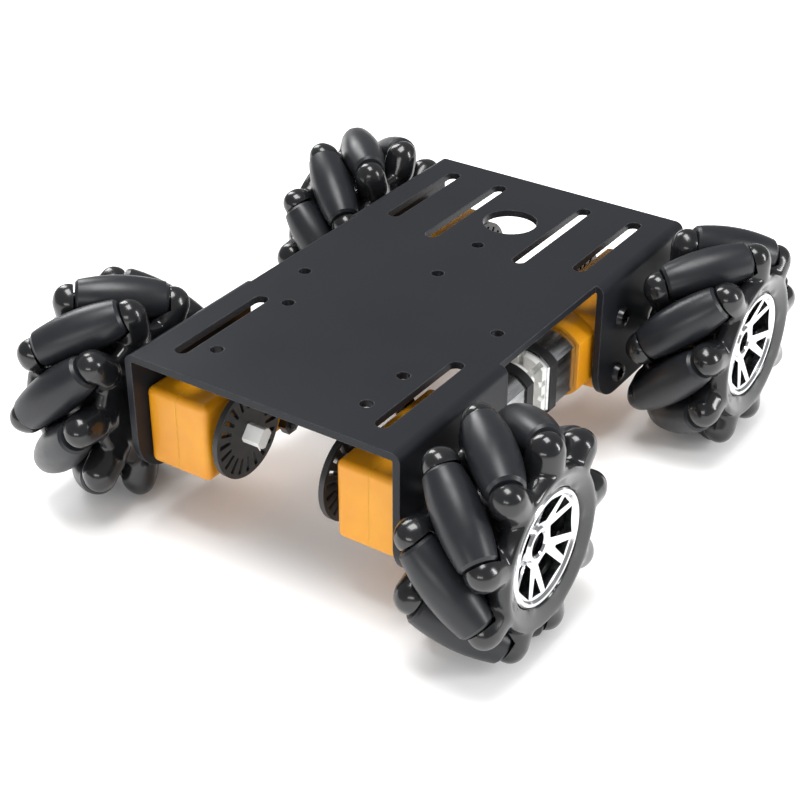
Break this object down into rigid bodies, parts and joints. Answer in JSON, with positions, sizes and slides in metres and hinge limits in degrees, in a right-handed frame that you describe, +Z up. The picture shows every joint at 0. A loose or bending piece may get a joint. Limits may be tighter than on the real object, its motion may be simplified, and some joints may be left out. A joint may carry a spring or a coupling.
{
  "type": "mecanum wheel robot",
  "caption": "Low four-wheel-drive robot chassis: folded metal deck on geared motors, each wheel a ring of barrel rollers set at an angle.",
  "frame": {"origin": "on the ground under the middle of the chassis", "axes": "+Z up, -Y towards the front end, +X towards the right-hand wheels"},
  "size_m": [0.1474, 0.173, 0.06],
  "materials": {
    "plate": "satin",
    "gearbox": "satin",
    "can": "satin",
    "bell": "matte",
    "strap": "satin",
    "fastener": "satin",
    "hub": "gloss",
    "rim": "polished",
    "shaft": "satin",
    "disc": "matte",
    "roller": "matte"
  },
  "bodies": {
    "chassis": {"chassis_plate": "plate", "gearbox_outer_shells": "gearbox", "gearbox_inner_shells": "gearbox", "motor_cans": "can", "motor_end_bells": "bell", "motor_straps": "strap", "motor_screws": "fastener", "motor_nuts": "fastener"},
    "wheel_front_right": {"wheel_hub_front_right": "hub", "rim_insert_front_right": "rim", "output_shaft_front_right": "shaft", "encoder_disc_front_right": "disc"},
    "roller_front_right_1": {"roller_front_right_1": "roller"},
    "roller_front_right_2": {"roller_front_right_2": "roller"},
    "roller_front_right_3": {"roller_front_right_3": "roller"},
    "roller_front_right_4": {"roller_front_right_4": "roller"},
    "roller_front_right_5": {"roller_front_right_5": "roller"},
    "roller_front_right_6": {"roller_front_right_6": "roller"},
    "roller_front_right_7": {"roller_front_right_7": "roller"},
    "roller_front_right_8": {"roller_front_right_8": "roller"},
    "roller_front_right_9": {"roller_front_right_9": "roller"},
    "wheel_front_left": {"wheel_hub_front_left": "hub", "rim_insert_front_left": "rim", "output_shaft_front_left": "shaft", "encoder_disc_front_left": "disc"},
    "roller_front_left_1": {"roller_front_left_1": "roller"},
    "roller_front_left_2": {"roller_front_left_2": "roller"},
    "roller_front_left_3": {"roller_front_left_3": "roller"},
    "roller_front_left_4": {"roller_front_left_4": "roller"},
    "roller_front_left_5": {"roller_front_left_5": "roller"},
    "roller_front_left_6": {"roller_front_left_6": "roller"},
    "roller_front_left_7": {"roller_front_left_7": "roller"},
    "roller_front_left_8": {"roller_front_left_8": "roller"},
    "roller_front_left_9": {"roller_front_left_9": "roller"},
    "wheel_rear_right": {"wheel_hub_rear_right": "hub", "rim_insert_rear_right": "rim", "output_shaft_rear_right": "shaft", "encoder_disc_rear_right": "disc"},
    "roller_rear_right_1": {"roller_rear_right_1": "roller"},
    "roller_rear_right_2": {"roller_rear_right_2": "roller"},
    "roller_rear_right_3": {"roller_rear_right_3": "roller"},
    "roller_rear_right_4": {"roller_rear_right_4": "roller"},
    "roller_rear_right_5": {"roller_rear_right_5": "roller"},
    "roller_rear_right_6": {"roller_rear_right_6": "roller"},
    "roller_rear_right_7": {"roller_rear_right_7": "roller"},
    "roller_rear_right_8": {"roller_rear_right_8": "roller"},
    "roller_rear_right_9": {"roller_rear_right_9": "roller"},
    "wheel_rear_left": {"wheel_hub_rear_left": "hub", "rim_insert_rear_left": "rim", "output_shaft_rear_left": "shaft", "encoder_disc_rear_left": "disc"},
    "roller_rear_left_1": {"roller_rear_left_1": "roller"},
    "roller_rear_left_2": {"roller_rear_left_2": "roller"},
    "roller_rear_left_3": {"roller_rear_left_3": "roller"},
    "roller_rear_left_4": {"roller_rear_left_4": "roller"},
    "roller_rear_left_5": {"roller_rear_left_5": "roller"},
    "roller_rear_left_6": {"roller_rear_left_6": "roller"},
    "roller_rear_left_7": {"roller_rear_left_7": "roller"},
    "roller_rear_left_8": {"roller_rear_left_8": "roller"},
    "roller_rear_left_9": {"roller_rear_left_9": "roller"}
  },
  "joints": [
    {"name": "wheel_spin_front_right", "type": "hinge", "parent": "chassis", "child": "wheel_front_right", "pos_m": [0.0595, -0.0565, 0.03], "axis": [1, 0, 0], "continuous": true},
    {"name": "roller_spin_front_right_1", "type": "hinge", "parent": "wheel_front_right", "child": "roller_front_right_1", "pos_m": [0.0595, -0.03429, 0.03897], "axis": [0.7071, -0.2649, 0.6556], "continuous": true},
    {"name": "roller_spin_front_right_2", "type": "hinge", "parent": "wheel_front_right", "child": "roller_front_right_2", "pos_m": [0.0595, -0.04526, 0.05115], "axis": [0.7071, -0.6243, 0.332], "continuous": true},
    {"name": "roller_spin_front_right_3", "type": "hinge", "parent": "wheel_front_right", "child": "roller_front_right_3", "pos_m": [0.0595, -0.06148, 0.05343], "axis": [0.7071, -0.6917, -0.147], "continuous": true},
    {"name": "roller_spin_front_right_4", "type": "hinge", "parent": "wheel_front_right", "child": "roller_front_right_4", "pos_m": [0.0595, -0.07537, 0.04475], "axis": [0.7071, -0.4353, -0.5572], "continuous": true},
    {"name": "roller_spin_front_right_5", "type": "hinge", "parent": "wheel_front_right", "child": "roller_front_right_5", "pos_m": [0.0595, -0.08044, 0.02916], "axis": [0.7071, 0.0247, -0.7067], "continuous": true},
    {"name": "roller_spin_front_right_6", "type": "hinge", "parent": "wheel_front_right", "child": "roller_front_right_6", "pos_m": [0.0595, -0.0743, 0.01397], "axis": [0.7071, 0.4731, -0.5255], "continuous": true},
    {"name": "roller_spin_front_right_7", "type": "hinge", "parent": "wheel_front_right", "child": "roller_front_right_7", "pos_m": [0.0595, -0.05983, 0.00628], "axis": [0.7071, 0.7002, -0.0984], "continuous": true},
    {"name": "roller_spin_front_right_8", "type": "hinge", "parent": "wheel_front_right", "child": "roller_front_right_8", "pos_m": [0.0595, -0.04381, 0.00969], "axis": [0.7071, 0.5997, 0.3747], "continuous": true},
    {"name": "roller_spin_front_right_9", "type": "hinge", "parent": "wheel_front_right", "child": "roller_front_right_9", "pos_m": [0.0595, -0.03372, 0.0226], "axis": [0.7071, 0.2185, 0.6725], "continuous": true},
    {"name": "wheel_spin_front_left", "type": "hinge", "parent": "chassis", "child": "wheel_front_left", "pos_m": [-0.0595, -0.0565, 0.03], "axis": [1, 0, 0], "continuous": true},
    {"name": "roller_spin_front_left_1", "type": "hinge", "parent": "wheel_front_left", "child": "roller_front_left_1", "pos_m": [-0.0595, -0.07901, 0.03819], "axis": [-0.7071, -0.2418, -0.6645], "continuous": true},
    {"name": "roller_spin_front_left_2", "type": "hinge", "parent": "wheel_front_left", "child": "roller_front_left_2", "pos_m": [-0.0595, -0.06847, 0.05074], "axis": [-0.7071, -0.6124, -0.3536], "continuous": true},
    {"name": "roller_spin_front_left_3", "type": "hinge", "parent": "wheel_front_left", "child": "roller_front_left_3", "pos_m": [-0.0595, -0.05234, 0.05359], "axis": [-0.7071, -0.6964, 0.1228], "continuous": true},
    {"name": "roller_spin_front_left_4", "type": "hinge", "parent": "wheel_front_left", "child": "roller_front_left_4", "pos_m": [-0.0595, -0.03815, 0.04539], "axis": [-0.7071, -0.4545, 0.5417], "continuous": true},
    {"name": "roller_spin_front_left_5", "type": "hinge", "parent": "wheel_front_left", "child": "roller_front_left_5", "pos_m": [-0.0595, -0.03255, 0.03], "axis": [-0.7071, 0, 0.7071], "continuous": true},
    {"name": "roller_spin_front_left_6", "type": "hinge", "parent": "wheel_front_left", "child": "roller_front_left_6", "pos_m": [-0.0595, -0.03815, 0.01461], "axis": [-0.7071, 0.4545, 0.5417], "continuous": true},
    {"name": "roller_spin_front_left_7", "type": "hinge", "parent": "wheel_front_left", "child": "roller_front_left_7", "pos_m": [-0.0595, -0.05234, 0.00641], "axis": [-0.7071, 0.6964, 0.1228], "continuous": true},
    {"name": "roller_spin_front_left_8", "type": "hinge", "parent": "wheel_front_left", "child": "roller_front_left_8", "pos_m": [-0.0595, -0.06847, 0.00926], "axis": [-0.7071, 0.6124, -0.3536], "continuous": true},
    {"name": "roller_spin_front_left_9", "type": "hinge", "parent": "wheel_front_left", "child": "roller_front_left_9", "pos_m": [-0.0595, -0.07901, 0.02181], "axis": [-0.7071, 0.2418, -0.6645], "continuous": true},
    {"name": "wheel_spin_rear_right", "type": "hinge", "parent": "chassis", "child": "wheel_rear_right", "pos_m": [0.0595, 0.0565, 0.03], "axis": [1, 0, 0], "continuous": true},
    {"name": "roller_spin_rear_right_1", "type": "hinge", "parent": "wheel_rear_right", "child": "roller_rear_right_1", "pos_m": [0.0595, 0.07745, 0.04161], "axis": [0.7071, 0.3428, -0.6184], "continuous": true},
    {"name": "roller_spin_rear_right_2", "type": "hinge", "parent": "wheel_rear_right", "child": "roller_rear_right_2", "pos_m": [0.0595, 0.06508, 0.05236], "axis": [0.7071, 0.6601, -0.2534], "continuous": true},
    {"name": "roller_spin_rear_right_3", "type": "hinge", "parent": "wheel_rear_right", "child": "roller_rear_right_3", "pos_m": [0.0595, 0.0487, 0.05265], "axis": [0.7071, 0.6686, 0.2302], "continuous": true},
    {"name": "roller_spin_rear_right_4", "type": "hinge", "parent": "wheel_rear_right", "child": "roller_rear_right_4", "pos_m": [0.0595, 0.03597, 0.04234], "axis": [0.7071, 0.3642, 0.6061], "continuous": true},
    {"name": "roller_spin_rear_right_5", "type": "hinge", "parent": "wheel_rear_right", "child": "roller_rear_right_5", "pos_m": [0.0595, 0.03284, 0.02625], "axis": [0.7071, -0.1106, 0.6984], "continuous": true},
    {"name": "roller_spin_rear_right_6", "type": "hinge", "parent": "wheel_rear_right", "child": "roller_rear_right_6", "pos_m": [0.0595, 0.04079, 0.01192], "axis": [0.7071, -0.5337, 0.4639], "continuous": true},
    {"name": "roller_spin_rear_right_7", "type": "hinge", "parent": "wheel_rear_right", "child": "roller_rear_right_7", "pos_m": [0.0595, 0.05608, 0.00605], "axis": [0.7071, -0.707, 0.0123], "continuous": true},
    {"name": "roller_spin_rear_right_8", "type": "hinge", "parent": "wheel_rear_right", "child": "roller_rear_right_8", "pos_m": [0.0595, 0.07157, 0.01139], "axis": [0.7071, -0.5495, -0.445], "continuous": true},
    {"name": "roller_spin_rear_right_9", "type": "hinge", "parent": "wheel_rear_right", "child": "roller_rear_right_9", "pos_m": [0.0595, 0.08001, 0.02543], "axis": [0.7071, -0.1349, -0.6941], "continuous": true},
    {"name": "wheel_spin_rear_left", "type": "hinge", "parent": "chassis", "child": "wheel_rear_left", "pos_m": [-0.0595, 0.0565, 0.03], "axis": [1, 0, 0], "continuous": true},
    {"name": "roller_spin_rear_left_1", "type": "hinge", "parent": "wheel_rear_left", "child": "roller_rear_left_1", "pos_m": [-0.0595, 0.03299, 0.03457], "axis": [-0.7071, 0.1349, 0.6941], "continuous": true},
    {"name": "roller_spin_rear_left_2", "type": "hinge", "parent": "wheel_rear_left", "child": "roller_rear_left_2", "pos_m": [-0.0595, 0.04143, 0.04861], "axis": [-0.7071, 0.5495, 0.445], "continuous": true},
    {"name": "roller_spin_rear_left_3", "type": "hinge", "parent": "wheel_rear_left", "child": "roller_rear_left_3", "pos_m": [-0.0595, 0.05692, 0.05395], "axis": [-0.7071, 0.707, -0.0123], "continuous": true},
    {"name": "roller_spin_rear_left_4", "type": "hinge", "parent": "wheel_rear_left", "child": "roller_rear_left_4", "pos_m": [-0.0595, 0.07221, 0.04808], "axis": [-0.7071, 0.5337, -0.4639], "continuous": true},
    {"name": "roller_spin_rear_left_5", "type": "hinge", "parent": "wheel_rear_left", "child": "roller_rear_left_5", "pos_m": [-0.0595, 0.08016, 0.03375], "axis": [-0.7071, 0.1106, -0.6984], "continuous": true},
    {"name": "roller_spin_rear_left_6", "type": "hinge", "parent": "wheel_rear_left", "child": "roller_rear_left_6", "pos_m": [-0.0595, 0.07703, 0.01766], "axis": [-0.7071, -0.3642, -0.6061], "continuous": true},
    {"name": "roller_spin_rear_left_7", "type": "hinge", "parent": "wheel_rear_left", "child": "roller_rear_left_7", "pos_m": [-0.0595, 0.0643, 0.00735], "axis": [-0.7071, -0.6686, -0.2302], "continuous": true},
    {"name": "roller_spin_rear_left_8", "type": "hinge", "parent": "wheel_rear_left", "child": "roller_rear_left_8", "pos_m": [-0.0595, 0.04792, 0.00764], "axis": [-0.7071, -0.6601, 0.2534], "continuous": true},
    {"name": "roller_spin_rear_left_9", "type": "hinge", "parent": "wheel_rear_left", "child": "roller_rear_left_9", "pos_m": [-0.0595, 0.03555, 0.01839], "axis": [-0.7071, -0.3428, 0.6184], "continuous": true}
  ]
}
